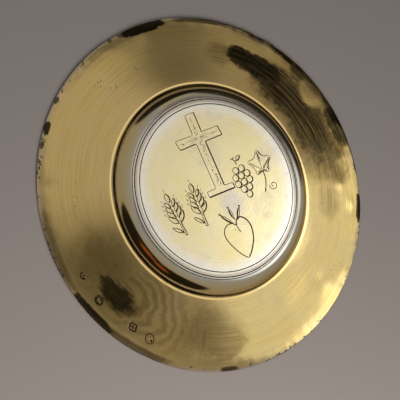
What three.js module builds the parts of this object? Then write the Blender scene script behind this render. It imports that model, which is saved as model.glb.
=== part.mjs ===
// A paten: the round plate that holds the host at mass. It is one sheet of silver, raised with the
// hammer into a wide, gently sloping rim round a flat-bottomed well, then gilt.
// It lies here on the edge of its rim with its engraved reverse up, so the well shows as a raised
// boss. The origin is the centre of the circle that it rests on, +Z is the axis of the dish, and
// +Y is the upright direction of the engraving. All lengths are in millimetres.
import * as THREE from "three";

// Driving dimensions.
const DIAMETER = 150; // over the edge of the rim
const SHEET = 0.8; // thickness of the raised sheet
const HEIGHT = 8.2; // from the rim's edge to the engraved field
const BOSS_FOOT_RADIUS = 45.3; // where the wall of the boss runs out into the rim
const WALL_SLOPE = 63; // degrees, at the steepest line of the wall
const FOOT_FILLET = 1.3; // radius of the hollow curve at the foot, to the sheet's middle
const RIM_SLOPE = 4.6; // degrees, the fall of the rim outwards
const EDGE_SLOPE = 9; // degrees, at the very edge, where the rim turns over a little more
const EDGE_BAND = 5; // width of that turned-over band
const SCRIBED_RINGS = [35.2, 37.3]; // radii of the two engraved circles round the field
const SCRIBE_WIDTH = 0.3;
const SCRIBE_DEPTH = 0.12;

// Fineness of the facets.
const TURNS = 96; // steps round the axis
const SHOULDER_STEPS = 6;
const FILLET_STEPS = 3;
const EDGE_BAND_STEPS = 2;
const EDGE_STEPS = 4;

const radians = THREE.MathUtils.degToRad;
const wall = radians(WALL_SLOPE);
const rim = radians(RIM_SLOPE);
const edge = radians(EDGE_SLOPE);
const half = SHEET / 2;

// The section of the sheet's middle line is a chain of arcs and straight runs. It climbs from the
// centre of the rounded edge, over the turned-over band and the rim, to the foot of the boss.
const edgeCentre = new THREE.Vector2(DIAMETER / 2 - half, half);
const bandRadius = EDGE_BAND / (Math.sin(edge) - Math.sin(rim));
const bandStart = edgeCentre.x - EDGE_BAND;
const bandHeight = edgeCentre.y + bandRadius * (Math.cos(rim) - Math.cos(edge));
const footHeight = bandHeight + (bandStart - BOSS_FOOT_RADIUS) * Math.tan(rim);

// The shoulder's radius follows from what is left to climb, and the field's from the shoulder's.
const fieldHeight = HEIGHT - half;
const filletRise = FOOT_FILLET * (Math.cos(rim) - Math.cos(wall));
const filletReach = FOOT_FILLET * (Math.sin(wall) - Math.sin(rim));
const shoulder = (fieldHeight - footHeight - filletRise) / (1 - Math.cos(wall));
const fieldRadius = BOSS_FOOT_RADIUS - filletReach - shoulder * Math.sin(wall);

// Points along an arc of the section, from slope `from` to slope `to`, on a face lying `above` the
// middle line. A shoulder bulges up, and a hollow curve (bulge -1) bulges down.
function arc(centre, radius, from, to, steps, above, bulge = 1) {
  const points = [];
  for (let i = 0; i <= steps; i++) {
    const slope = from + ((to - from) * i) / steps;
    const normal = new THREE.Vector2(Math.sin(slope), Math.cos(slope));
    points.push(centre.clone().addScaledVector(normal, bulge * radius + above));
  }
  return points;
}

// One face of the sheet from the edge of the flat field out to the rim's edge.
function faceOutwards(above) {
  const shoulderCentre = new THREE.Vector2(fieldRadius, fieldHeight - shoulder);
  const filletCentre = new THREE.Vector2(
    BOSS_FOOT_RADIUS + FOOT_FILLET * Math.sin(rim),
    footHeight + FOOT_FILLET * Math.cos(rim),
  );
  const bandCentre = new THREE.Vector2(
    bandStart - bandRadius * Math.sin(rim),
    bandHeight - bandRadius * Math.cos(rim),
  );
  return [
    ...arc(shoulderCentre, shoulder, 0, wall, SHOULDER_STEPS, above),
    ...arc(filletCentre, FOOT_FILLET, wall, rim, FILLET_STEPS, above, -1).slice(1),
    ...arc(bandCentre, bandRadius, rim, edge, EDGE_BAND_STEPS, above),
  ];
}

// The engraved face from the axis outwards, with a V groove at each scribed ring.
function scribedField(above) {
  const height = fieldHeight + above;
  const points = [new THREE.Vector2(0, height)];
  for (const radius of SCRIBED_RINGS) {
    points.push(
      new THREE.Vector2(radius - SCRIBE_WIDTH / 2, height),
      new THREE.Vector2(radius, height - SCRIBE_DEPTH),
      new THREE.Vector2(radius + SCRIBE_WIDTH / 2, height),
    );
  }
  return points;
}

// The full round at the rim's edge, from the engraved face round to the well's face.
function roundedEdge() {
  const points = [];
  for (let i = 1; i < EDGE_STEPS; i++) {
    const angle = Math.PI / 2 - edge - (Math.PI * i) / EDGE_STEPS;
    points.push(
      new THREE.Vector2(
        edgeCentre.x + half * Math.cos(angle),
        edgeCentre.y + half * Math.sin(angle),
      ),
    );
  }
  return points;
}

function section() {
  const top = [...scribedField(half), ...faceOutwards(half)];
  const wellFloor = new THREE.Vector2(0, fieldHeight - half);
  const under = [wellFloor, ...faceOutwards(-half)];
  return [...top, ...roundedEdge(), ...under.reverse()];
}

const gilt = new THREE.MeshStandardMaterial({
  name: "gilt_silver",
  color: 0xcfae63,
  roughness: 0.16,
  metalness: 1,
});

const geometry = new THREE.LatheGeometry(section().reverse(), TURNS);
geometry.rotateX(Math.PI / 2); // the lathe turns about Y, and the dish about Z

const dish = new THREE.Mesh(geometry, gilt);
dish.name = "paten_dish";

const paten = new THREE.Group();
paten.name = "paten";
paten.add(dish);

export default paten;
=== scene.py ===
import math
import random

import bmesh
import bpy
import numpy as np
from mathutils import Matrix, Vector, noise
from mathutils.geometry import delaunay_2d_cdt


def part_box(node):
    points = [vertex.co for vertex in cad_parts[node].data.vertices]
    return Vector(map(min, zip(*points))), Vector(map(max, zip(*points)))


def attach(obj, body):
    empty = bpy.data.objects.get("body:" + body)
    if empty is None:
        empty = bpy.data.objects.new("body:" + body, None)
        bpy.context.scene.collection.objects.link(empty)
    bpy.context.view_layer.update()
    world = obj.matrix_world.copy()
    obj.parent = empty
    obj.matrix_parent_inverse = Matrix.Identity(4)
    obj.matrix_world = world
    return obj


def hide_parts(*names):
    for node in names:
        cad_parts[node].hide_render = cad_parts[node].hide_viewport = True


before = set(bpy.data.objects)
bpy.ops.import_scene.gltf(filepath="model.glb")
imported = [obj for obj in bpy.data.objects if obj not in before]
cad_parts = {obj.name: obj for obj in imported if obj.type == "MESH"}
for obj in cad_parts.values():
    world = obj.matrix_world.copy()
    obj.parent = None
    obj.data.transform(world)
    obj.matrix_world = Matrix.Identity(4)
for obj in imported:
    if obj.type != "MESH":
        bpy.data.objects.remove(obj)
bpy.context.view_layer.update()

# A silver-gilt paten, lying on the edge of its rim with its engraved reverse up. The mesh is worked
# out in millimetres, and goes into the scene in metres.
MM = 0.001
NODE = "paten_dish"
BODY = "root"
RANDOM = random.Random(1749)

# ---------- sizes, in millimetres and degrees
low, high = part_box(NODE)
RADIUS = high.x / MM
HEIGHT = high.z / MM
SHEET = 0.8
BOSS_FOOT = 45.3  # radius where the wall of the boss runs out into the rim
WALL_SLOPE = math.radians(63)
FOOT_FILLET = 1.3  # radius of the hollow curve at the foot, to the sheet's middle
RIM_SLOPE = math.radians(4.6)
EDGE_SLOPE = math.radians(9)
EDGE_BAND = 5.0  # width of the rim's turned-over edge
HALF = SHEET / 2

COLUMNS = 512  # steps round the axis
FIELD_PATCH = 34.6  # radius of the disc that holds the engraving
RIM_PATCH = (48.0, 73.6)  # the ring that holds the punch marks
WELL_PATCH = 36.0  # radius of the plain disc on the well's floor
CUT_SLOPE = 0.8  # depth of an engraved line beside half its width

# The section's middle line, as in the CAD part.
edge_centre = Vector((RADIUS - HALF, HALF))
band_radius = EDGE_BAND / (math.sin(EDGE_SLOPE) - math.sin(RIM_SLOPE))
band_start = edge_centre.x - EDGE_BAND
band_height = edge_centre.y + band_radius * (math.cos(RIM_SLOPE) - math.cos(EDGE_SLOPE))
foot_height = band_height + (band_start - BOSS_FOOT) * math.tan(RIM_SLOPE)
field_height = HEIGHT - HALF
fillet_rise = FOOT_FILLET * (math.cos(RIM_SLOPE) - math.cos(WALL_SLOPE))
fillet_reach = FOOT_FILLET * (math.sin(WALL_SLOPE) - math.sin(RIM_SLOPE))
shoulder = (field_height - foot_height - fillet_rise) / (1 - math.cos(WALL_SLOPE))
field_radius = BOSS_FOOT - fillet_reach - shoulder * math.sin(WALL_SLOPE)
shoulder_centre = Vector((field_radius, field_height - shoulder))
fillet_centre = Vector((
    BOSS_FOOT + FOOT_FILLET * math.sin(RIM_SLOPE),
    foot_height + FOOT_FILLET * math.cos(RIM_SLOPE),
))
band_centre = Vector((
    band_start - band_radius * math.sin(RIM_SLOPE),
    band_height - band_radius * math.cos(RIM_SLOPE),
))


def on_arc(centre, radius, slope):
    """The point of an arc of the section where the surface falls outwards at this slope."""
    return centre.x + radius * math.sin(slope), centre.y + radius * math.cos(slope)


def face_height(r, above):
    """Height of a face of the sheet over the shallow parts of the section: the field and the rim."""
    if r <= field_radius:
        return field_height + above
    if r <= on_arc(shoulder_centre, shoulder + above, WALL_SLOPE)[0]:
        return shoulder_centre.y + math.sqrt((shoulder + above) ** 2 - (r - shoulder_centre.x) ** 2)
    bend = band_radius + above
    start, top = on_arc(band_centre, bend, RIM_SLOPE)
    if r <= start:
        return top + (start - r) * math.tan(RIM_SLOPE)
    return band_centre.y + math.sqrt(bend**2 - (r - band_centre.x) ** 2)


# ---------- the hand-made surface
# Each dent is (x, y, radius, lift). The rim's edge can only be knocked up, off the floor.
DENTS = (
    (64.5, -35, 7, 0.32), (58.2, 46.2, 4, 0.26), (61.5, 41, 3, 0.12), (65.2, 19, 7, 0.20),
    (70.5, 4, 5, 0.16), (-57, -24, 10, -0.10), (3, 72.5, 8, 0.12), (-62, 33, 5, 0.12),
    (30.5, -57.5, 8, 0.24), (62, -24, 6, 0.20), (66.5, -12, 4, 0.12), (-44, -58, 7, 0.16),
)
# Each nick in the rim's edge is (angle in degrees, width, depth).
NICKS = (
    (160, 1.6, 0.16), (152, 1.2, 0.14), (141, 1.0, 0.10), (120, 1.4, 0.12), (98, 5.5, 0.22),
    (44, 3.0, 0.24), (36, 2.2, 0.20), (12, 2.0, 0.10), (-28, 5.0, 0.22), (-47, 2.6, 0.16),
    (-72, 2.0, 0.12), (-118, 3.0, 0.12), (-140, 2.4, 0.14), (-165, 1.4, 0.10),
)
# Waves left by the hammer: (length, height, a place of its own in the noise).
RIM_WAVES = ((26, 0.11, 3.7), (14, 0.028, 21.9), (8.5, 0.010, 9.1))
FIELD_WAVE = (14, 0.012, 5.3)
EDGE_BLOWS = (3.2, 0.03, 14.6)
# Rings pressed into the sheet: (radius, width, depth).
STAKE_CHANNEL = (45.0, 0.75, 0.10)  # the raising stake left it round the foot of the boss
STAKE_HOLLOW = (45.5, 2.6, 0.045)  # the wider hollow that it lies in
LEANING_SHOULDER = (38.7, 2.1, 0.24)
CREASE = (69.1, 0.45, 0.07)
TIGHT_SIDE = math.radians(6)  # where the leaning boss turns down soonest
EDGE_LIFT = 0.15
FIELD_SINK = 0.012


def smooth(low_edge, high_edge, x):
    """Eases from 0 at low_edge to 1 at high_edge, which may be the smaller of the two."""
    t = min(1.0, max(0.0, (x - low_edge) / (high_edge - low_edge)))
    return t * t * (3 - 2 * t)


def wave(x, y, length, height, place):
    return height * noise.noise(Vector((x / length, y / length, place)))


def groove(r, middle, width, depth):
    return depth * math.exp(-(((r - middle) / width) ** 2))


def planish(x, y):
    """How far the raised and planished sheet strays from its true form, the same on both faces."""
    r = math.hypot(x, y)
    stray = smooth(45.5, 52, r) * sum(wave(x, y, *w) for w in RIM_WAVES)
    stray += (1 - smooth(33, 38, r)) * wave(x, y, *FIELD_WAVE)
    stray += smooth(68, 72, r) * wave(x, y, *EDGE_BLOWS)
    stray -= groove(r, *STAKE_CHANNEL) + groove(r, *STAKE_HOLLOW)
    for dent_x, dent_y, size, lift in DENTS:
        stray += lift * math.exp(-((x - dent_x) ** 2 + (y - dent_y) ** 2) / (2 * (size / 2) ** 2))
    # The boss leans off its axis, so the field turns down sooner on its right.
    lean = 0.5 + 0.5 * (x * math.cos(TIGHT_SIDE) + y * math.sin(TIGHT_SIDE)) / max(r, 0.1)
    stray -= groove(r, *LEANING_SHOULDER) * lean**3
    # A crease runs along the right of the rim, where its edge was once pressed back.
    along = math.degrees(math.atan2(y, x))
    stray -= groove(r, *CREASE) * smooth(-24, -16, along) * smooth(14, 6, along)
    # Near the edge it can only rise, and on the field it can only sink.
    return stray + EDGE_LIFT * smooth(58, 72, r) - FIELD_SINK * (1 - smooth(36, 45, r))


def nick(angle, r):
    """How far the rim's edge is worn or knocked inwards."""
    depth = 0.0
    for degrees, width, deep in NICKS:
        away = (angle - math.radians(degrees) + math.pi) % (2 * math.pi) - math.pi
        depth += deep * math.exp(-((away * RADIUS / width) ** 2))
    return depth * smooth(72.5, 74.8, r)


# ---------- the engraver's strokes
HAIR = 0.24  # width of the lightest lines
THIN = 0.30  # usual width of a line
THICK = 0.62  # its width on the shaded side of a shape
SHADE = Vector((0.80, -0.60))  # the shaded side is the lower right
CHUNK = 2000  # points whose depth is worked out at a time


def left_of(run):
    return Vector((-run.y, run.x)).normalized()


class Engraving:
    """Lines and dots cut into a flat patch: what they add to its outline mesh, and how deep they are."""

    def __init__(self):
        self.points = []
        self.edges = []
        self.spans = []  # (ax, ay, half width at a, bx, by, half width at b)

    def _chain(self, points, closed=False):
        first = len(self.points)
        self.points += points
        ids = list(range(first, first + len(points)))
        self.edges += list(zip(ids, ids[1:]))
        if closed:
            self.edges.append((ids[-1], ids[0]))

    def cut(self, path, width=THIN, outward=0, closed=False, taper=0.5):
        """One stroke of the graver. With outward 1 or -1 the shape lies on the stroke's right or left,
        and its shading decides the width. An open stroke thins out over taper at both ends."""
        path = [Vector(p) for p in path]
        count = len(path)
        sides = []
        for i in range(count):
            before = path[i - 1] if closed or i else path[0]
            after = path[(i + 1) % count] if closed or i + 1 < count else path[-1]
            sides.append(left_of(after - before))
        run = [0.0]
        for a, b in zip(path, path[1:]):
            run.append(run[-1] + (b - a).length)
        halves = []
        for side, gone in zip(sides, run):
            w = width
            if outward:
                w = THIN + (THICK - THIN) * smooth(-0.1, 0.75, outward * side.dot(SHADE))
            if not closed:
                w *= min(1.0, max(0.0, min(gone, run[-1] - gone)) / taper)
            halves.append(w / 2)
        left = [p + s * h for p, s, h in zip(path, sides, halves)]
        right = [p - s * h for p, s, h in zip(path, sides, halves)]
        for line in (path, left, right):
            self._chain(line if closed else [path[0]] + line[1:-1] + [path[-1]], closed)
        for i in range(count if closed else count - 1):
            a, b = path[i], path[(i + 1) % count]
            self.spans.append((a.x, a.y, halves[i], b.x, b.y, halves[(i + 1) % count]))

    def dot(self, at, width=0.3):
        """A touch of the point, which leaves a small cone."""
        at = Vector(at)
        self._chain(circle(at, width / 2, 6), closed=True)
        self.points.append(at)
        self.spans.append((at.x, at.y, width / 2, at.x, at.y, width / 2))

    def stipple(self, path, spread, count, width=0.3):
        """Dots scattered along a path, each up to spread from it."""
        path = [Vector(p) for p in path]
        for i in range(count):
            along = (i + RANDOM.uniform(0.2, 0.8)) / count * (len(path) - 1)
            k = min(int(along), len(path) - 2)
            here = path[k].lerp(path[k + 1], along - k)
            shift = Vector((RANDOM.uniform(-spread, spread), RANDOM.uniform(-0.2, 0.2)))
            self.dot(here + shift, width * RANDOM.uniform(0.8, 1.2))

    def depth(self, xy, margin=0.0):
        """Depth of the cuts at each point of an array, as if each were wider by margin on both sides."""
        spans = np.array(self.spans)
        a, b = spans[:, 0:2], spans[:, 3:5]
        run = b - a
        length2 = np.maximum((run**2).sum(1), 1e-12)
        deepest = np.zeros(len(xy))
        for start in range(0, len(xy), CHUNK):
            p = xy[start : start + CHUNK]
            along = (((p[:, None] - a) * run).sum(2) / length2).clip(0, 1)
            away = np.linalg.norm(p[:, None] - (a + along[..., None] * run), axis=2)
            half = spans[:, 2] + (spans[:, 5] - spans[:, 2]) * along
            deepest[start : start + CHUNK] = (half + margin - away).max(1)
        return CUT_SLOPE * deepest.clip(0)


def straight(a, b, step=1.5, ease=0.5):
    """Points along a straight stroke, with one more near each end, where the cut runs out."""
    a, b = Vector(a), Vector(b)
    length = (b - a).length
    stops = [0.0, ease]
    inner = max(1, round((length - 2 * ease) / step))
    stops += [ease + (length - 2 * ease) * i / inner for i in range(1, inner + 1)]
    stops.append(length)
    return [a.lerp(b, s / length) for s in stops]


def curve(points, step=0.45):
    """A smooth curve through given points, by Catmull-Rom."""
    points = [Vector(p) for p in points]
    ends = [points[0] * 2 - points[1]] + points + [points[-1] * 2 - points[-2]]
    out = [points[0]]
    for p0, p1, p2, p3 in zip(ends, ends[1:], ends[2:], ends[3:]):
        count = max(1, round((p2 - p1).length / step))
        for i in range(1, count + 1):
            t = i / count
            point = 2 * p1 + (p2 - p0) * t
            point += (2 * p0 - 5 * p1 + 4 * p2 - p3) * t * t
            point += (3 * p1 - p0 - 3 * p2 + p3) * t**3
            out.append(0.5 * point)
    return out


def bow(a, b, bulge, step=0.45):
    """A shallow arc from a to b that stands off to the left by bulge."""
    a, b = Vector(a), Vector(b)
    run = b - a
    side = left_of(run)
    count = max(4, round(run.length / step))
    return [a.lerp(b, i / count) + side * bulge * math.sin(math.pi * i / count) for i in range(count + 1)]


def circle(centre, radius, count=18):
    """Points round a circle, anticlockwise."""
    centre = Vector(centre)
    angles = [2 * math.pi * i / count for i in range(count)]
    return [centre + Vector((math.cos(a), math.sin(a))) * radius for a in angles]


def oval(centre, reach, first=0, step=20, count=18):
    """Points round an upright oval, anticlockwise, with the angles in degrees."""
    angles = [math.radians(first + step * i) for i in range(count)]
    return [(centre[0] + reach[0] * math.cos(a), centre[1] + reach[1] * math.sin(a)) for a in angles]


def grain(cuts, base, tip, width):
    """A pointed seed or blade between two bowed strokes, with a row of dots down a broad one."""
    base, tip = Vector(base), Vector(tip)
    cuts.cut(bow(base, tip, width / 2), outward=1)
    cuts.cut(bow(base, tip, -width / 2), outward=-1)
    if width > 1.2:
        cuts.stipple([base.lerp(tip, 0.25), base.lerp(tip, 0.8)], width * 0.12, 3, 0.34)


def lines(cuts, *strokes):
    """Straight strokes, each (from, to, width)."""
    for a, b, width in strokes:
        cuts.cut(straight(a, b), width=width)


def placed(foot, lean, points):
    """Points of an upright motif, turned by lean about its foot and moved there."""
    turn = Matrix.Rotation(lean, 2)
    return [Vector(foot) + turn @ Vector(p) for p in points]


def wheat_ear(cuts, foot, height, lean):
    """An ear of wheat on its stalk, with a blade at its side."""

    def put(*points):
        return placed(foot, lean, points)

    stalk = height * 0.30
    cuts.cut(straight(*put((-0.45, 0), (-0.35, stalk))))
    cuts.cut(straight(*put((0.45, 0), (0.35, stalk))), width=0.44)
    cuts.cut(straight(*put((-0.9, -0.1), (1.0, -0.35))), width=0.40)
    pairs = 4
    for i in range(pairs):
        at = stalk + (height * 0.80 - stalk) * i / pairs
        size = 1.0 - 0.10 * i
        for side in (-1, 1):
            base, tip = put((side * 0.4, at - 0.4), (side * 3.7 * size, at + 4.0 * size))
            grain(cuts, base, tip, 2.1 * size)
            awn = put((side * 3.8 * size, at + 4.2 * size), (side * 4.7 * size, at + 6.0 * size))
            cuts.cut(straight(*awn), width=HAIR)
    base, tip = put((0, height * 0.76), (0, height))
    grain(cuts, base, tip, 2.0)
    cuts.cut(straight(*put((0, height + 0.2), (0.1, height + 2.0))), width=HAIR)
    base, tip = put((-0.6, height * 0.05), (-4.3, height * 0.27))
    grain(cuts, base, tip, 1.3)


def grape_bunch(cuts, top, berry):
    """A hanging bunch of grapes with a short stalk."""
    top = Vector(top)
    rows = (2, 3, 3, 2, 1)
    pitch = berry * 2.12
    for row, count in enumerate(rows):
        for i in range(count):
            at = top + Vector(((i - (count - 1) / 2) * pitch, -(row + 0.6) * pitch * 0.93))
            cuts.cut(circle(at, berry)[::-1], outward=1, closed=True)
            cuts.dot(at + Vector((0.25, -0.3)) * berry, 0.3)
            cuts.dot(at + Vector((0.45, 0.05)) * berry, 0.26)
    cuts.cut(curve([top + Vector(p) for p in ((0.1, 0.3), (0.0, 2.0), (-0.9, 3.6))]), width=0.46)
    cuts.cut(straight(top + Vector((-2.1, 3.3)), top + Vector((0.6, 3.9))), width=0.36)
    grain(cuts, top + Vector((0.2, 2.2)), top + Vector((3.4, 3.7)), 1.5)


def vine_leaf(cuts, centre, size, lean):
    """A five-lobed vine leaf, its stalk and a curling tendril."""
    tips = 5
    per_lobe = 9

    def rim_of_leaf(turns):
        angle = math.pi / 2 + turns * 2 * math.pi
        lobe = 1 - abs(math.sin(tips * (angle - math.pi / 2) / 2))
        reach = size * (0.60 + 0.40 * lobe**1.3) * (1.0 if math.sin(angle) > -0.6 else 0.86)
        return math.cos(angle) * reach, math.sin(angle) * reach

    for k in range(tips):
        lobe = [rim_of_leaf(-(k + i / per_lobe) / tips) for i in range(per_lobe + 1)]
        cuts.cut(placed(centre, lean, lobe), outward=1, taper=0.3)
    heart = (0, -size * 0.42)
    for k in range(tips):
        x, y = rim_of_leaf(-k / tips)
        part = 0.86 * 0.8 if k in (2, 3) else 0.86  # how much of the way to the tip it runs
        vein = placed(centre, lean, (heart, (x * part, y * part)))
        cuts.cut(straight(*vein), width=HAIR)
        cuts.stipple([vein[0].lerp(vein[1], 0.3), vein[0].lerp(vein[1], 0.85)], 0.55, 6, 0.27)
    stalk = [(0, -size * 0.5), (0.3, -size * 0.95), (-0.6, -size * 1.5), (-2.0, -size * 1.95)]
    cuts.cut(curve(placed(centre, lean, stalk)), width=0.48)
    curl = []
    for i in range(30):
        turn = i / 29
        reach = 0.35 + 1.75 * turn
        angle = math.radians(500) * (1 - turn) + math.radians(160)
        curl.append((3.0 + reach * math.cos(angle), -size * 1.62 + reach * math.sin(angle)))
    cuts.cut(placed(centre, lean, curl[::-1]), width=0.34)


def plain_cross(cuts):
    """A Latin cross that stands on a bar, its right and lower edges cut heavy."""
    lines(
        cuts,
        ((-0.5, 32.4), (-0.9, 23.9), THIN),  # the shaft's left side, over and under the arms
        ((-1.1, 19.9), (-1.6, 0.1), THIN),
        ((3.9, 32.6), (3.5, 23.3), 0.5),  # its right side
        ((3.3, 19.5), (2.7, -0.5), THICK),
        ((-0.6, 32.4), (3.9, 32.3), 0.2),  # its top
        ((-9.6, 24.2), (-0.8, 23.7), HAIR),  # the left arm
        ((-9.6, 24.3), (-9.1, 20.0), THIN),
        ((-9.3, 20.1), (-1.0, 19.9), 0.46),
        ((3.4, 23.6), (11.6, 23.2), HAIR),  # the right arm
        ((11.5, 23.5), (11.9, 18.9), 0.46),
        ((12.0, 19.1), (3.2, 19.4), 0.44),
    )
    dot_size = 0.42
    # Dots down the shaft: (from, to, spread, count).
    for a, b, spread, count in (
        ((1.5, 30.8), (1.4, 26.5), 0.35, 7),
        ((1.4, 26.5), (1.2, 23.0), 0.9, 11),
        ((1.2, 20.5), (1.1, 15.5), 0.8, 13),
        ((1.1, 15.0), (0.8, 5.0), 0.35, 13),
        ((0.8, 5.4), (0.6, 0.4), 0.9, 15),
    ):
        cuts.stipple([a, b], spread, count, dot_size)
    # Dots that fan out from the crossing, and a row along each arm.
    for reach in (1.0, 1.9, 2.8, 3.7):
        for slant in (-0.26, 0.0, 0.26):
            cuts.dot((1.2 - reach - 0.2, 21.9 + slant * reach), dot_size)
            cuts.dot((1.3 + reach, 21.7 + slant * reach), dot_size)
    cuts.stipple([(-8.0, 22.2), (-3.2, 22.0)], 0.4, 8, 0.40)
    cuts.stipple([(5.6, 21.5), (10.4, 21.3)], 0.4, 8, 0.40)
    # The bar.
    lines(
        cuts,
        ((-6.2, 0.0), (-1.4, -0.1), 0.26),
        ((2.6, -0.4), (6.9, -0.8), 0.26),
        ((-6.1, 0.1), (-5.9, -2.5), THIN),
        ((-6.1, -2.3), (7.0, -3.1), 0.66),
        ((6.8, -0.7), (6.9, -3.2), 0.50),
    )


def heart_and_nails(cuts):
    """A plain heart with three nails set in its cleft."""
    cleft, tip = (-0.1, -17.6), (-1.2, -31.8)
    left = [(-1.6, -16.0), (-4.2, -15.7), (-6.6, -17.6), (-7.0, -20.8), (-5.6, -25.2), (-3.4, -29.2)]
    right = [(0.8, -15.4), (3.0, -14.9), (5.2, -17.0), (6.0, -20.6), (4.6, -25.4), (1.6, -29.4)]
    cuts.cut(curve([cleft] + left + [tip]), width=0.44)
    cuts.cut(curve([cleft] + right + [tip]), width=0.60)
    cuts.cut(curve([(-0.1, -17.4), (0.1, -19.2), (0.7, -21.0)]), width=0.42)
    cuts.stipple([(-2.4, -18.4), (-0.4, -20.6)], 0.9, 8, 0.26)
    nails = (((-5.4, -10.3), (-1.0, -16.4)), ((-0.4, -9.2), (0.3, -15.2)), ((4.9, -10.6), (1.4, -15.8)))
    for head, point in nails:
        head, point = Vector(head), Vector(point)
        across = left_of(point - head) * 0.75
        cuts.cut(bow(head, point, 0.5), taper=0.4)
        cuts.cut(bow(head, point, -0.45), width=0.72, taper=1.8)
        cuts.cut(straight(head - across, head + across, ease=0.3), width=0.44, taper=0.3)


def engraved_field():
    """All that is cut into the flat top of the boss."""
    cuts = Engraving()
    plain_cross(cuts)
    heart_and_nails(cuts)
    wheat_ear(cuts, (-22.6, -11.4), 18.6, math.radians(4))
    wheat_ear(cuts, (-12.4, -11.8), 18.4, math.radians(-2))
    grape_bunch(cuts, (12.0, 4.6), 1.42)
    vine_leaf(cuts, (22.8, 1.2), 6.3, math.radians(-8))
    return cuts


# Groups of pits in the rim: (x, y, count, spread), half as wide in y as in x.
PIT_GROUPS = (
    (-27, 58, 7, 2.6), (-21.5, 55, 5, 1.8), (-9, 58.6, 4, 0.9),
    (-60, 20, 5, 5), (38, -55, 6, 6), (55, 20, 5, 5),
)
LONE_PITS = 46
RIM_PITTED = (48, 73)  # the ring that they lie in


def punch_marks(cuts):
    """Four worn marks with no device that can be read: a crescent, an oval, a lozenge and a seal."""
    cuts.cut(oval((-67.2, -8.1), (1.1, 1.3), first=60, step=25, count=10), width=0.85)
    cuts.dot((-66.9, -8.3), 0.8)
    cuts.cut(oval((-65.7, -19.4), (1.25, 1.7)), width=1.15, closed=True)
    cuts.dot((-65.2, -19.9), 0.8)
    corners = ((-57.8, -32.8), (-56.0, -34.9), (-57.8, -37.0), (-59.6, -34.8))
    strokes = [(a, b, 0.75) for a, b in zip(corners, corners[1:] + corners[:1])]
    strokes += [((-58.5, -33.8), (-57.0, -36.0), 0.5), ((-56.9, -33.9), (-58.7, -35.9), 0.5)]
    for a, b, width in strokes:
        cuts.cut(straight(a, b, ease=0.3), width=width, taper=0.3)
    cuts.cut(oval((-53.5, -42.1), (1.75, 2.1)), width=0.42, closed=True)
    for at, width in (((-53.3, -43.2), 1.2), ((-54.2, -41.3), 0.5), ((-52.8, -41.5), 0.5)):
        cuts.dot(at, width)


def rim_marks():
    """The punch marks, and the pits of an old surface."""
    cuts = Engraving()
    punch_marks(cuts)
    for x, y, count, spread in PIT_GROUPS:
        for _ in range(count):
            pit = (x + RANDOM.uniform(-spread, spread), y + RANDOM.uniform(-spread, spread) * 0.5)
            cuts.dot(pit, RANDOM.uniform(0.3, 0.55))
    for _ in range(LONE_PITS):
        angle = RANDOM.uniform(0, 2 * math.pi)
        r = RANDOM.uniform(*RIM_PITTED)
        cuts.dot((r * math.cos(angle), r * math.sin(angle)), RANDOM.uniform(0.2, 0.36))
    return cuts


# ---------- the mesh
REVERSE, CUT, WELL = 0, 1, 2  # material slots of the dish
ROW_PITCH = 0.866  # between the rows of a triangular grid, beside its spacing
GRID_SHAKE = 0.12  # how far a grid's point may stray, beside its spacing
GRID_MARGIN = 0.55  # how far the grid stays off its borders, beside its spacing
CUT_MARGIN = 0.3  # how far it stays off the cuts
SHARP_ANGLE = math.radians(24)


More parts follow.
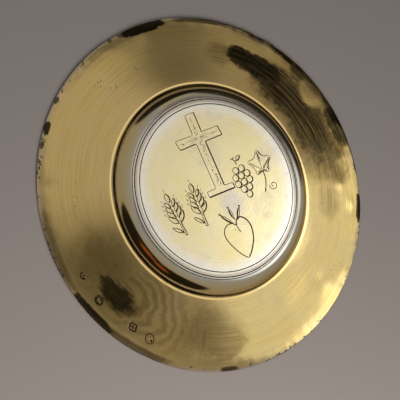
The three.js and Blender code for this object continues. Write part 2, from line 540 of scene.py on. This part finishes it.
class Dish:
    """The vertices and faces of the sheet's one closed surface."""

    def __init__(self):
        self.points = []
        self.faces = []
        self.slots = []

    def ring(self, radius, height, eccentric=0.0, bulge_at=0.0):
        """A ring of vertices at a height, which may be a function of the radius. An eccentric one
        is wider at the angle bulge_at."""
        ids = []
        for k in range(COLUMNS):
            angle = 2 * math.pi * k / COLUMNS
            r = radius + eccentric * math.cos(angle - bulge_at)
            z = height(r) if callable(height) else height
            r -= nick(angle, r)
            ids.append(self.point(r * math.cos(angle), r * math.sin(angle), z))
        return ids

    def point(self, x, y, z):
        self.points.append((x, y, z + planish(x, y)))
        return len(self.points) - 1

    def band(self, inner, outer, slot):
        for k in range(COLUMNS):
            n = (k + 1) % COLUMNS
            self.faces.append((inner[k], outer[k], outer[n], inner[n]))
            self.slots.append(slot)

    def patch(self, outer, inner, spacing, above, slot, cuts=None, dark_below=0.008):
        """Fills the space inside the ring outer, and outside the ring inner if given, with even
        triangles that follow every cut. A triangle deeper than dark_below counts as cut."""
        border = list(outer) + list(inner or [])
        flat = [Vector(self.points[i][:2]) for i in border]
        count = len(outer)
        edges = [(k, (k + 1) % count) for k in range(count)]
        edges += [(count + k, count + (k + 1) % count) for k in range(len(inner or []))]
        outer_radius = flat[0].length
        inner_radius = flat[count].length if inner else 0.0
        first = len(flat)
        if cuts:
            flat += cuts.points
            edges += [(a + first, b + first) for a, b in cuts.edges]
        flat += self.filling(outer_radius, inner_radius, spacing, cuts)
        points, _, triangles, sources, _, _ = delaunay_2d_cdt(flat, edges, [], 0, 1e-6, True)
        places = np.array([(p.x, p.y) for p in points])
        depth = cuts.depth(places) if cuts else np.zeros(len(places))
        ids = []
        for p, deep, source in zip(points, depth, sources):
            known = [s for s in source if s < first]
            if known:
                ids.append(border[known[0]])
            else:
                ids.append(self.point(p.x, p.y, face_height(p.length, above) - deep))
        corners = np.array(triangles)
        middles = places[corners].mean(1)
        inside = cuts.depth(middles) > dark_below if cuts else np.zeros(len(corners), bool)
        for triangle, middle, cut in zip(triangles, middles, inside):
            if math.hypot(*middle) < inner_radius * math.cos(math.pi / COLUMNS):
                continue
            self.faces.append(tuple(ids[i] for i in triangle))
            self.slots.append(CUT if cut else slot)

    @staticmethod
    def filling(outer_radius, inner_radius, spacing, cuts):
        """Points on a shaken triangular grid, clear of the borders and of the cuts."""
        grid = []
        rows = int(outer_radius / (spacing * ROW_PITCH)) + 1
        margin = GRID_MARGIN * spacing
        nearest = inner_radius + margin if inner_radius else 0.0
        for j in range(-rows, rows + 1):
            for i in range(-rows, rows + 1):
                x = (i + 0.5 * (j % 2)) * spacing + RANDOM.uniform(-GRID_SHAKE, GRID_SHAKE) * spacing
                y = j * spacing * ROW_PITCH + RANDOM.uniform(-GRID_SHAKE, GRID_SHAKE) * spacing
                if nearest <= math.hypot(x, y) < outer_radius - margin:
                    grid.append((x, y))
        if cuts:
            grid = np.array(grid)
            grid = grid[cuts.depth(grid, CUT_MARGIN) == 0]
        return [Vector((float(x), float(y))) for x, y in grid]


# Circles scribed round the field: (radius, how far off the axis, width), and the plain rings before each.
SCRIBED = ((35.2, 0.0, 0.42), (37.3, 0.03, 0.44), (38.15, 0.20, 0.30))
SCRIBED_TOWARD = math.radians(165)
PLAIN_BETWEEN = ((34.85,), (35.7, 36.3, 36.85), (37.64,))
SHOULDER_START = 38.8  # radius
TURNED_UNDER = math.radians(-30)  # where the rounded edge passes to the well's material

# Radii of the rings on the rim's reverse, at its very edge, and on the well's side.
RIM_FOOT_RINGS = (45.6, 45.8, 46.05, 46.35, 46.7, 47.1, 47.5, RIM_PATCH[0])
EDGE_RINGS = (73.95, 74.25)
UNDER_RINGS = (73.8, 72.6, 71, 69, 66, 62.5, 59, 55.5, 52, 49.5, 48, 47, 46.3, 45.8)
WELL_FLOOR_RINGS = (37.2, WELL_PATCH)


def reverse_height(r):
    return face_height(r, HALF)


def well_height(r):
    return face_height(r, -HALF)


def between(first, last, steps):
    """Evenly spaced values, with both ends."""
    return [first + (last - first) * i / steps for i in range(steps + 1)]


def level_rings(dish, radii, height, slot):
    return [(dish.ring(r, height), slot) for r in radii]


def arc_rings(dish, centre, radius, slopes, slot):
    return [(dish.ring(*on_arc(centre, radius, slope)), slot) for slope in slopes]


def scribed_rings(dish):
    """The rings of vertices from the engraved patch out to the last scribed circle."""
    rings = []
    for (radius, off_centre, width), plain in zip(SCRIBED, PLAIN_BETWEEN):
        rings += level_rings(dish, plain, reverse_height, REVERSE)
        for side, deep, slot in ((-1, 0.0, CUT), (0, CUT_SLOPE * width / 2, CUT), (1, 0.0, REVERSE)):
            line = dish.ring(
                radius + side * width / 2,
                lambda r, deep=deep: reverse_height(r) - deep,
                off_centre,
                SCRIBED_TOWARD,
            )
            rings.append((line, slot))
    return rings


def join(dish, rings):
    """Bands between neighbouring rings. Each takes the slot of its first ring."""
    for (inner, slot), (outer, _) in zip(rings, rings[1:]):
        dish.band(inner, outer, slot)


def make_dish():
    """The whole sheet as one closed surface."""
    dish = Dish()

    # The engraved reverse, from the middle out.
    field_edge = dish.ring(FIELD_PATCH, reverse_height)
    dish.patch(field_edge, None, 1.1, HALF, REVERSE, engraved_field())
    start = math.asin((SHOULDER_START - shoulder_centre.x) / (shoulder + HALF))
    down = between(start, WALL_SLOPE, 16)
    out = between(WALL_SLOPE, RIM_SLOPE, 10)[1:]
    rings = [(field_edge, REVERSE)] + scribed_rings(dish)
    rings += arc_rings(dish, shoulder_centre, shoulder + HALF, down, REVERSE)
    rings += arc_rings(dish, fillet_centre, HALF - FOOT_FILLET, out, REVERSE)
    rings += level_rings(dish, RIM_FOOT_RINGS, reverse_height, REVERSE)
    join(dish, rings)
    rim_inner = rings[-1][0]
    rim_outer = dish.ring(RIM_PATCH[1], reverse_height)
    dish.patch(rim_outer, rim_inner, 1.15, HALF, REVERSE, rim_marks(), dark_below=0.02)

    # The edge band, the rounded edge and the well's face, back to the middle.
    rings = [(rim_outer, REVERSE)] + level_rings(dish, EDGE_RINGS, reverse_height, REVERSE)
    for around in between(math.pi / 2 - EDGE_SLOPE, -math.pi / 2 - EDGE_SLOPE, 12):
        point = (edge_centre.x + HALF * math.cos(around), edge_centre.y + HALF * math.sin(around))
        rings.append((dish.ring(*point), REVERSE if around > TURNED_UNDER else WELL))
    back = between(RIM_SLOPE, WALL_SLOPE, 8)
    up = between(WALL_SLOPE, 0.0, 12)[1:]
    rings += level_rings(dish, UNDER_RINGS, well_height, WELL)
    rings += arc_rings(dish, fillet_centre, -HALF - FOOT_FILLET, back, WELL)
    rings += arc_rings(dish, shoulder_centre, shoulder - HALF, up, WELL)
    rings += level_rings(dish, WELL_FLOOR_RINGS, well_height, WELL)
    join(dish, rings)
    dish.patch(rings[-1][0], None, 1.8, -HALF, WELL)
    return dish


def in_scene(name, data):
    obj = bpy.data.objects.new(name, data)
    bpy.context.scene.collection.objects.link(obj)
    return obj


def build_object(dish, name):
    """The dish as a Blender object, in metres, with sharp edges where a cut or the rim's edge breaks."""
    mesh = bpy.data.meshes.new(name)
    mesh.from_pydata([(x * MM, y * MM, z * MM) for x, y, z in dish.points], [], dish.faces)
    mesh.polygons.foreach_set("material_index", dish.slots)
    surface = bmesh.new()
    surface.from_mesh(mesh)
    bmesh.ops.recalc_face_normals(surface, faces=surface.faces)
    for face in surface.faces:
        face.smooth = True
    surface.to_mesh(mesh)
    surface.free()
    mesh.set_sharp_from_angle(angle=SHARP_ANGLE)
    return in_scene(name, mesh)


# ---------- node helpers
class Nodes:
    """Short names for the nodes that the materials and the world use."""

    def __init__(self, tree):
        self.tree = tree
        tree.nodes.clear()

    def add(self, kind, **values):
        node = self.tree.nodes.new(kind)
        for key, value in values.items():
            setattr(node, key, value)
        return node

    def feed(self, socket, value):
        """Links another node's output to a socket, or sets the socket to a constant."""
        if isinstance(value, bpy.types.NodeSocket):
            self.tree.links.new(value, socket)
        else:
            socket.default_value = value

    def math(self, operation, a, b=None, c=None, clamp=False):
        node = self.add("ShaderNodeMath", operation=operation, use_clamp=clamp)
        for socket, value in zip(node.inputs, (a, b, c)):
            if value is not None:
                self.feed(socket, value)
        return node.outputs[0]

    def madd(self, x, factor, y, clamp=False):
        """x times factor, plus y."""
        return self.math("MULTIPLY_ADD", x, factor, y, clamp)

    def vector(self, operation, a, b=None):
        node = self.add("ShaderNodeVectorMath", operation=operation)
        self.feed(node.inputs[0], a)
        if b is not None:
            self.feed(node.inputs[1], b)
        return node.outputs["Value" if operation in ("LENGTH", "DOT_PRODUCT", "DISTANCE") else "Vector"]

    def step(self, x, low_edge, high_edge, low_value=0.0, high_value=1.0):
        """Eases from low_value at low_edge to high_value at high_edge."""
        node = self.add("ShaderNodeMapRange", interpolation_type="SMOOTHSTEP")
        for socket, value in zip(node.inputs, (x, low_edge, high_edge, low_value, high_value)):
            self.feed(socket, value)
        return node.outputs[0]

    def mix(self, share, a, b):
        """Colour a, with this share of colour b over it."""
        node = self.add("ShaderNodeMix", data_type="RGBA")
        self.feed(node.inputs["Factor"], share)
        self.feed(node.inputs[6], a)
        self.feed(node.inputs[7], b)
        return node.outputs[2]

    def noise(self, place, scale, detail=3.0, roughness=0.5):
        node = self.add("ShaderNodeTexNoise")
        self.feed(node.inputs["Vector"], place)
        self.feed(node.inputs["Scale"], scale)
        self.feed(node.inputs["Detail"], detail)
        self.feed(node.inputs["Roughness"], roughness)
        return node.outputs["Fac"]

    def ramp(self, x, stops):
        """A value that runs straight from one (position, value) to the next."""
        node = self.add("ShaderNodeValToRGB")
        elements = node.color_ramp.elements
        while len(elements) > 1:
            elements.remove(elements[-1])
        for i, (position, value) in enumerate(stops):
            element = elements[0] if i == 0 else elements.new(position)
            element.position = position
            element.color = (value, value, value, 1.0)
        self.feed(node.inputs["Fac"], x)
        return node.outputs["Color"]


def millimetres(nodes):
    """The point that is shaded, in the dish's millimetres."""
    return nodes.vector("MULTIPLY", nodes.add("ShaderNodeTexCoord").outputs["Object"], (1 / MM,) * 3)


def rgb(r, g, b):
    return (r, g, b, 1.0)


def toward(azimuth, elevation):
    """Unit vector: azimuth in degrees from +X towards +Y, elevation in degrees over the floor."""
    a, e = math.radians(azimuth), math.radians(elevation)
    return Vector((math.cos(e) * math.cos(a), math.cos(e) * math.sin(a), math.sin(e)))


# ---------- materials
GOLD = rgb(0.86, 0.608, 0.215)
# Painted highlight: a paler, yellower copy of the gold, for the brightly lit field.
HIGHLIGHT_GOLD = rgb(0.83, 0.675, 0.29)
SILVER = rgb(0.88, 0.855, 0.83)
DULL_SILVER = rgb(0.58, 0.545, 0.54)
BROWN_FILM = rgb(0.33, 0.20, 0.075)
# The two sulphide colours below also give the painted shade and the painted dark reflections.
THIN_SULPHIDE_AND_SHADE = rgb(0.25, 0.135, 0.030)
SULPHIDE_AND_SHADE = rgb(0.024, 0.018, 0.008)

# The share of silver that shows through the gilding: (radius, share).
REVERSE_WEAR = (
    (0, 0.28), (24, 0.22), (30, 0.30), (34.6, 0.76), (38, 0.88), (39.8, 0.50), (41.3, 0.22), (43, 0.12),
    (44.0, 0.15), (45.5, 0.08), (70, 0.05), (74.0, 0.12), (74.8, 0.55),
)
WELL_WEAR = (
    (0, 0.10), (30, 0.14), (36, 0.22), (42, 0.10), (46, 0.06), (70, 0.05), (74.0, 0.15), (74.8, 0.55),
)
RUBBED_SPOT = (2.5, -8.0, HEIGHT)  # where fingers have rubbed the field down to dull silver
RUBBED_SIDE = 20  # degrees, the side of the rim where polishing has thinned the stains most
BOSS_SHADE_LINE = 44.45  # radius of the line of painted shade in the hollow at the boss's foot
RING_FILM = 36.9  # radius of the brown band between the scribed circles

# Stains of sulphide on the rim, and painted dark reflections along its edge: (angle in degrees,
# radius, reach round, reach outwards, strength, softness of the border).
REVERSE_STAINS_AND_SHADE = (
    # The long dark stain at the upper right, its soft tail and its outer patches.
    (41, 61.0, 14, 5.2, 0.98, 0.35), (50, 62.6, 5, 3.8, 0.98, 0.25), (24, 58.5, 19, 9.5, 0.88, 0.7),
    (8, 58, 20, 11, 0.80, 0.85), (-6, 60, 15, 11, 0.50, 0.95), (59, 60, 6, 5, 0.35, 0.9),
    (2, 72, 10, 4.4, 0.9, 0.5), (25, 71, 4, 4.5, 0.7, 0.6), (-28, 57, 8, 5.5, 0.36, 0.8),
    # The dark patch at the lower left, with brown to each side of it.
    (199.5, 62.2, 10.6, 5.0, 0.90, 0.6), (188, 59, 14, 11, 0.46, 0.95), (241, 60, 14, 11, 0.44, 0.8),
    (246, 63, 10, 8, 0.46, 0.3), (238.3, 62, 1.2, 6, 0.55, 0.8),
    # Black places along the edge: painted dark reflections of its turned edge and its nicks.
    (35, 73, 9, 1.1, 0.85, 0.5), (66, 74, 13, 1.3, 0.8, 0.7), (88, 73.7, 10.5, 2.8, 0.98, 0.2),
    (-29.5, 73.8, 6, 1.5, 0.95, 0.3), (198, 74, 10.5, 1.7, 0.95, 0.3), (214, 73.8, 16, 1.5, 0.7, 0.8),
    (176, 73.5, 18, 1.8, 0.6, 0.9), (137.8, 74, 3, 1.4, 0.95, 0.3), (143, 74.2, 1.6, 0.9, 0.8, 0.3),
    (128, 74.3, 1.5, 0.8, 0.8, 0.3), (248, 74.2, 4, 1.2, 0.8, 0.4),
)
# Matt patches that hold no stain, given in the same way.
REVERSE_MATT = ((16, 68.6, 6.4, 5.4, 0.65, 0.4), (43, 69.8, 16, 3.2, 0.5, 0.6))
# A drop that dried left tide lines round this place, as far as this patch reaches.
REVERSE_TIDE = ((-57.0, -20.0, 4.0), (215, 58, 18, 12, 0.50, 0.9))
WELL_STAINS = (
    (70, 71, 12, 3, 0.6, 0.5), (160, 56, 8, 6, 0.4, 0.8), (265, 66, 10, 5, 0.45, 0.6),
    (330, 73.8, 8, 1.6, 0.7, 0.4),
)
WELL_MATT = ((40, 62, 8, 5, 0.5, 0.5),)
WELL_TIDE = ((40.0, -30.0, 1.0), (-37, 55, 12, 9, 0.4, 0.8))
TIDE_SQUEEZE = 1.8  # how much closer together the tide lines lie along the radius
TIDE_LINES = 1.25  # radians of a tide line's wave for each millimetre
POLISH_DEPTH = 0.000015  # metres


def new_material(name):
    """A material with a shader, a helper for its nodes, and that shader."""
    material = bpy.data.materials.new(name)
    material.use_nodes = True
    nodes = Nodes(material.node_tree)
    shader = nodes.add("ShaderNodeBsdfPrincipled")
    nodes.feed(nodes.add("ShaderNodeOutputMaterial").inputs["Surface"], shader.outputs[0])
    return material, nodes, shader


class Place:
    """Where a point of the dish is, in millimetres, and the patterns that several layers share."""

    def __init__(self, nodes):
        self.nodes = nodes
        self.point = millimetres(nodes)
        level = nodes.vector("MULTIPLY", self.point, (1, 1, 0))
        self.radius = nodes.vector("LENGTH", level)
        self.facing = nodes.vector("NORMALIZE", level)
        self.cloud = nodes.noise(self.point, 0.07, 4, 0.55)
        self.mottle = nodes.noise(self.point, 0.35, 5, 0.6)
        self.fine = self.turned_noise(2.6, 2.8, 4, 0.65)

    def scaled(self, factor):
        """A point of the circle with this radius, at the same angle."""
        node = self.nodes.add("ShaderNodeVectorMath", operation="SCALE")
        self.nodes.feed(node.inputs[0], self.facing)
        self.nodes.feed(node.inputs["Scale"], factor)
        return node.outputs[0]

    def turned_noise(self, round_scale, out_scale, detail, roughness):
        """Noise that runs slowly round the axis and fast outwards, as polishing marks do."""
        outward = self.nodes.add("ShaderNodeCombineXYZ")
        self.nodes.feed(outward.inputs["Z"], self.nodes.math("MULTIPLY", self.radius, out_scale))
        place = self.nodes.vector("ADD", self.scaled(round_scale), outward.outputs[0])
        return self.nodes.noise(place, 1.0, detail, roughness)

    def off_circle(self, radius):
        """Distance from the circle with this radius."""
        return self.nodes.math("ABSOLUTE", self.nodes.math("SUBTRACT", self.radius, radius))

    def spot(self, where, ragged):
        """Strength of one stain or patch, an oval in angle and radius whose border ragged breaks up."""
        nodes = self.nodes
        degrees, r, around, outwards, strength, softness = where
        centre = tuple(toward(degrees, 0) * r)
        along = nodes.math("DIVIDE", nodes.vector("DISTANCE", self.scaled(r), centre), around)
        across = nodes.math("DIVIDE", nodes.math("SUBTRACT", self.radius, r), outwards)
        away = nodes.madd(along, along, nodes.math("MULTIPLY", across, across))
        away = nodes.math("ADD", away, ragged)
        return nodes.step(away, 1.0 + softness, 1.0 - softness, 0.0, strength)


def worn_gilding(nodes, at, silver_by_radius):
    """Colour of the metal: gold, paler and yellower on the field as a painted highlight, and silver where the
    gilding is thin or rubbed off.
    """
    worn = nodes.ramp(nodes.math("DIVIDE", at.radius, RADIUS), [(r / RADIUS, v) for r, v in silver_by_radius])
    drift = nodes.madd(at.cloud, 0.9, -0.45)
    drift = nodes.madd(at.mottle, 0.35, nodes.math("SUBTRACT", drift, 0.175))
    # The wear drifts most where it is neither slight nor complete.
    undecided = nodes.math("MULTIPLY", nodes.math("MULTIPLY", worn, nodes.math("SUBTRACT", 1.0, worn)), 4.0)
    worn = nodes.math("ADD", worn, nodes.math("MULTIPLY", drift, undecided), clamp=True)
    colour = nodes.mix(worn, nodes.mix(nodes.step(at.radius, 36, 46), HIGHLIGHT_GOLD, GOLD), SILVER)
    rubbed = nodes.madd(at.mottle, 9.0, nodes.vector("DISTANCE", at.point, RUBBED_SPOT))
    return nodes.mix(nodes.step(rubbed, 13.0, 6.5, 0.0, 0.62), colour, DULL_SILVER)


def brown_film(nodes, at):
    """Share of a thin brown film, in specks, in clouds and in the lines that polishing left."""
    specks = nodes.step(nodes.noise(at.point, 2.2, 3, 0.6), 0.70, 0.78, 0.0, 0.35)
    clouds = nodes.step(at.cloud, 0.52, 0.75, 0.0, 0.16)
    brushed = nodes.step(at.fine, 0.44, 0.70, 0.0, 0.26)
    brushed = nodes.math("MULTIPLY", brushed, nodes.step(at.radius, 44, 50))
    brushed = nodes.math("ADD", brushed, nodes.step(at.off_circle(RING_FILM), 1.6, 0.2, 0.0, 0.45))
    return nodes.math("MAXIMUM", nodes.math("MAXIMUM", brushed, specks), clouds)


def sulphide_and_shade(nodes, at, stains_and_shade, ragged):
    """Share of black: painted shade in the hollow at the boss's foot, pits along the edge, and ragged
    patches, which are sulphide stains on the rim and painted dark reflections along its edge.
    """
    # Painted shade: a near-black line in the hollow at the boss's foot, in place of the dark reflection of
    # the bend.
    foot_shade = nodes.step(at.off_circle(BOSS_SHADE_LINE), 0.15, 0.5, 0.98, 0.0)
    foot_shade = nodes.math("MULTIPLY", foot_shade, nodes.step(at.mottle, 0.3, 0.55, 0.8, 1.0))
    pits = nodes.step(nodes.noise(at.point, 0.55, 3, 0.6), 0.585, 0.63, 0.0, 0.85)
    stain_and_shade = nodes.math("MULTIPLY", pits, nodes.step(at.radius, 72.6, 74.2))
    stain_and_shade = nodes.math("MAXIMUM", stain_and_shade, foot_shade)
    for where in stains_and_shade:
        stain_and_shade = nodes.math("MAXIMUM", stain_and_shade, at.spot(where, ragged))
    # The stains and the painted shade are thinned in polishing lines, most of all on the rubbed side of the
    # rim.
    rubbed = nodes.vector("DOT_PRODUCT", at.facing, tuple(toward(RUBBED_SIDE, 0)))
    rubbed = nodes.step(rubbed, 0.1, 0.8, 0.25, 1.0)
    thinned = nodes.madd(nodes.step(at.fine, 0.36, 0.62, -0.55, 0.8), rubbed, 1.0)
    bare = nodes.math("POWER", nodes.math("SUBTRACT", 1.0, stain_and_shade), thinned)
    return nodes.math("SUBTRACT", 1.0, bare, clamp=True)


def tide_lines(nodes, at, tide, ragged):
    """Share of brown film in the lines round a dried drop, which was drawn out round the rim."""
    centre, reach = tide
    away = nodes.math("POWER", nodes.vector("DISTANCE", at.point, centre), 2.0)
    outwards = nodes.math("SUBTRACT", at.radius, math.hypot(*centre[:2]))
    away = nodes.madd(nodes.math("MULTIPLY", outwards, TIDE_SQUEEZE), outwards, away)
    away = nodes.madd(at.cloud, 16.0, nodes.math("SQRT", away))
    away = nodes.madd(at.mottle, 2.5, away)
    ripple = nodes.math("SINE", nodes.math("MULTIPLY", away, TIDE_LINES))
    return nodes.math("MULTIPLY", nodes.step(ripple, -0.9, 0.9), at.spot(reach, ragged))


def polish_marks(nodes, at, lathe_lines):
    """Normals with fine lines round the rim, and with hairlines that cross them everywhere."""
    streaks = at.turned_noise(2.2, 1.3, 3, 0.6)
    hair_a = nodes.noise(nodes.vector("MULTIPLY", at.point, (0.4, 7.0, 1.0)), 1.0, 2, 0.5)
    turned = nodes.add("ShaderNodeVectorRotate", rotation_type="Z_AXIS")
    nodes.feed(turned.inputs["Vector"], at.point)
    nodes.feed(turned.inputs["Angle"], 1.15)
    hair_b = nodes.noise(nodes.vector("MULTIPLY", turned.outputs[0], (0.35, 6.0, 1.0)), 1.0, 2, 0.5)
    height = nodes.madd(lathe_lines, 0.30, streaks)
    height = nodes.madd(nodes.math("ADD", hair_a, hair_b), 0.06, height)
    bump = nodes.add("ShaderNodeBump")
    bump.inputs["Strength"].default_value = 1.0
    bump.inputs["Distance"].default_value = POLISH_DEPTH
    nodes.feed(bump.inputs["Height"], height)
    return bump.outputs[0]


def gilt(name, silver_by_radius, stains_and_shade, matt, tide, field_roughness, rim_roughness):
    """Fire-gilt silver, worn, stained and polished by hand."""
    material, nodes, shader = new_material(name)
    at = Place(nodes)
    ragged = nodes.madd(at.fine, 2.4, nodes.madd(at.mottle, 1.3, -2.6))
    ragged = nodes.madd(at.cloud, 1.5, ragged)
    calm = nodes.madd(at.mottle, 1.6, -0.8)

    film = brown_film(nodes, at)
    dull = 0.0
    for where in matt:
        dull = nodes.math("MAXIMUM", dull, at.spot(where, calm))
    stain_and_shade = nodes.math("MULTIPLY", sulphide_and_shade(nodes, at, stains_and_shade, ragged), nodes.math("SUBTRACT", 1.0, dull))
    colour = nodes.mix(film, worn_gilding(nodes, at, silver_by_radius), BROWN_FILM)
    colour = nodes.mix(tide_lines(nodes, at, tide, ragged), colour, BROWN_FILM)
    # The black share holds sulphide stains, painted shade and painted dark reflections.
    colour = nodes.mix(stain_and_shade, colour, nodes.mix(nodes.step(stain_and_shade, 0.1, 0.8), THIN_SULPHIDE_AND_SHADE, SULPHIDE_AND_SHADE))
    nodes.feed(shader.inputs["Base Color"], colour)
    shader.inputs["Metallic"].default_value = 1.0

    # Roughness: softer on the rubbed field, brighter on the rim, duller under film, under stain and painted
    # shade, and under a matt patch.
    lathe_lines = at.turned_noise(3.0, 5.0, 4, 0.7)
    rough = nodes.step(at.radius, 33, 46, field_roughness, rim_roughness)
    rough = nodes.madd(lathe_lines, 0.10, nodes.math("ADD", rough, -0.05))
    rough = nodes.madd(at.mottle, 0.08, nodes.math("ADD", rough, -0.04))
    for share, more in ((film, 0.18), (dull, 0.17), (stain_and_shade, 0.04)):
        rough = nodes.madd(share, more, rough, clamp=True)
    nodes.feed(shader.inputs["Roughness"], rough)
    nodes.feed(shader.inputs["Normal"], polish_marks(nodes, at, lathe_lines))
    return material


def cut_line():
    """The bottom of an engraved line, black with old polish and sulphide."""
    material, nodes, shader = new_material("engraved_line")
    patchy = nodes.noise(millimetres(nodes), 0.8, 3, 0.6)
    colour = nodes.mix(nodes.step(patchy, 0.35, 0.7), rgb(0.028, 0.018, 0.010), rgb(0.16, 0.105, 0.05))
    nodes.feed(shader.inputs["Base Color"], colour)
    shader.inputs["Metallic"].default_value = 0.55
    nodes.feed(shader.inputs["Roughness"], nodes.step(patchy, 0.3, 0.7, 0.62, 0.42))
    return material


# ---------- stage
FLOOR_TONE = rgb(0.315, 0.292, 0.289)
FLOOR_CLOUD = rgb(0.290, 0.269, 0.266)
FLOOR_DROP = 0.00005  # metres, so that the floor doesn't touch the rim


def make_floor():
    """A sheet of pale paper with faint clouds in its tone."""
    bpy.ops.mesh.primitive_plane_add(size=3.0, location=(0, 0, -FLOOR_DROP))
    floor = bpy.context.object
    floor.name = "floor"
    material, nodes, shader = new_material("floor_paper")
    place = nodes.add("ShaderNodeTexCoord").outputs["Object"]
    tone = nodes.noise(place, 3.0, 3, 0.5)
    colour = nodes.mix(nodes.step(tone, 0.3, 0.7, 0.0, 0.25), FLOOR_TONE, FLOOR_CLOUD)
    nodes.feed(shader.inputs["Base Color"], colour)
    shader.inputs["Roughness"].default_value = 0.9
    shader.inputs["Specular IOR Level"].default_value = 0.2
    floor.data.materials.append(material)


# What the polished metal mirrors: a dim studio with soft lights, dark screens and openings. Each
# area is (azimuth, elevation, full within, gone beyond, colour), in degrees, with the last two angles
# measured from its middle. Each lies over those before it.
STUDIO = rgb(0.30, 0.288, 0.270)
BACKDROP = rgb(0.30, 0.28, 0.275)
HORIZON = rgb(0.22, 0.207, 0.198)  # the lit floor of the studio, far away
HORIZON_TOP, HORIZON_FULL = 6, 3  # degrees over the floor, where it starts and where it is full
AREAS = {
    "dim ceiling": (-20, 78, 3, 12, (0.16, 0.155, 0.13)),
    "dim corner": (12, 76, 1, 7, (0.16, 0.150, 0.13)),
    "dim beam": (33, 56, 5, 12, (0.150, 0.145, 0.130)),
    "ceiling glow": (30, 70, 6, 13, (0.46, 0.45, 0.42)),
    "window": (-26, 51, 11, 13.5, (0.76, 0.80, 0.82)),
    "softbox": (-4, 62, 6, 10, (0.86, 0.85, 0.82)),
    "window core": (-33, 46, 3, 7.5, (1.60, 1.66, 1.62)),
    "lamp": (-12, 56, 1.5, 5.8, (2.5, 2.5, 2.45)),
    "window sill": (-12, 41, 3, 7.5, (0.92, 0.94, 0.90)),
    "dark doorway": (18, 15, 27, 31, (0.022, 0.018, 0.012)),
    "dark wall": (66, 7, 27, 31, (0.012, 0.010, 0.008)),
    "dark coat": (195, 28, 29, 34, (0.014, 0.011, 0.008)),
    "dark chair": (236, 24, 23, 28, (0.014, 0.011, 0.008)),
    "amber lamp": (206, 38, 4, 10, (0.27, 0.075, 0.022)),
    "amber shade": (222, 31, 4, 9, (0.24, 0.066, 0.02)),
}


def sine(degrees):
    return math.sin(math.radians(degrees))


def make_world():
    """The studio as the metal mirrors it, with a plain backdrop where the camera sees past the floor."""
    world = bpy.data.worlds.new("studio")
    bpy.context.scene.world = world
    world.use_nodes = True
    nodes = Nodes(world.node_tree)
    background = nodes.add("ShaderNodeBackground")
    nodes.feed(nodes.add("ShaderNodeOutputWorld").inputs["Surface"], background.outputs[0])
    sight = nodes.vector("NORMALIZE", nodes.add("ShaderNodeTexCoord").outputs["Generated"])
    colour = STUDIO
    for azimuth, elevation, full, gone, tint in AREAS.values():
        cosine = nodes.vector("DOT_PRODUCT", sight, tuple(toward(azimuth, elevation)))
        share = nodes.step(cosine, sine(90 - gone), sine(90 - full))
        colour = nodes.mix(share, colour, rgb(*tint))
    height = nodes.add("ShaderNodeSeparateXYZ")
    nodes.feed(height.inputs[0], sight)
    low = nodes.step(height.outputs["Z"], sine(HORIZON_TOP), sine(HORIZON_FULL))
    colour = nodes.mix(low, colour, HORIZON)
    seen = nodes.mix(nodes.add("ShaderNodeLightPath").outputs["Is Camera Ray"], colour, BACKDROP)
    nodes.feed(background.inputs["Color"], seen)


def make_light(name, azimuth, elevation, distance, size, watts, tint):
    """A round soft lamp in metres, turned to the middle of the dish."""
    data = bpy.data.lights.new(name, "AREA")
    data.shape = "DISK"
    data.size = size
    data.energy = watts
    data.color = tint
    lamp = in_scene(name, data)
    lamp.location = toward(azimuth, elevation) * distance
    lamp.rotation_euler = lamp.location.to_track_quat("Z", "Y").to_euler()
    lamp.visible_glossy = False  # the world already holds what the metal mirrors


# ---------- camera
EYE = Vector((-199.4, 12.31, 368.02)) * MM
AIM = Vector((-6.67, -1.73, 0.8)) * MM
PICTURE_UP = Vector((0.3893, 0.9053, 0.1697))
LENS = 90  # millimetres, before a sensor 36 mm wide


def make_camera():
    """A long lens held near the dish, rolled as in the photo."""
    data = bpy.data.cameras.new("camera")
    data.sensor_width = 36
    data.lens = LENS
    data.clip_start = 0.01
    camera = in_scene("camera", data)
    back = (EYE - AIM).normalized()
    right = PICTURE_UP.cross(back).normalized()
    up = back.cross(right)
    turn = Matrix((right, up, back)).transposed()
    camera.matrix_world = Matrix.Translation(EYE) @ turn.to_4x4()
    bpy.context.scene.camera = camera


# ---------- the scene
make_camera()
make_world()
make_light("low_softbox", -113, 36, 0.38, 0.28, 1.25, (1.0, 0.91, 0.82))
make_light("high_softbox", 60, 70, 1.2, 0.8, 0.35, (0.95, 0.97, 1.0))
make_floor()

dish = build_object(make_dish(), "paten")
dish_materials = (  # in the order of the slots
    gilt("gilt_reverse", REVERSE_WEAR, REVERSE_STAINS_AND_SHADE, REVERSE_MATT, REVERSE_TIDE, 0.20, 0.08),
    cut_line(),
    gilt("gilt_well", WELL_WEAR, WELL_STAINS, WELL_MATT, WELL_TIDE, 0.14, 0.10),
)
for material in dish_materials:
    dish.data.materials.append(material)
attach(dish, BODY)
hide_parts(NODE)

bpy.context.scene.view_settings.view_transform = "Standard"
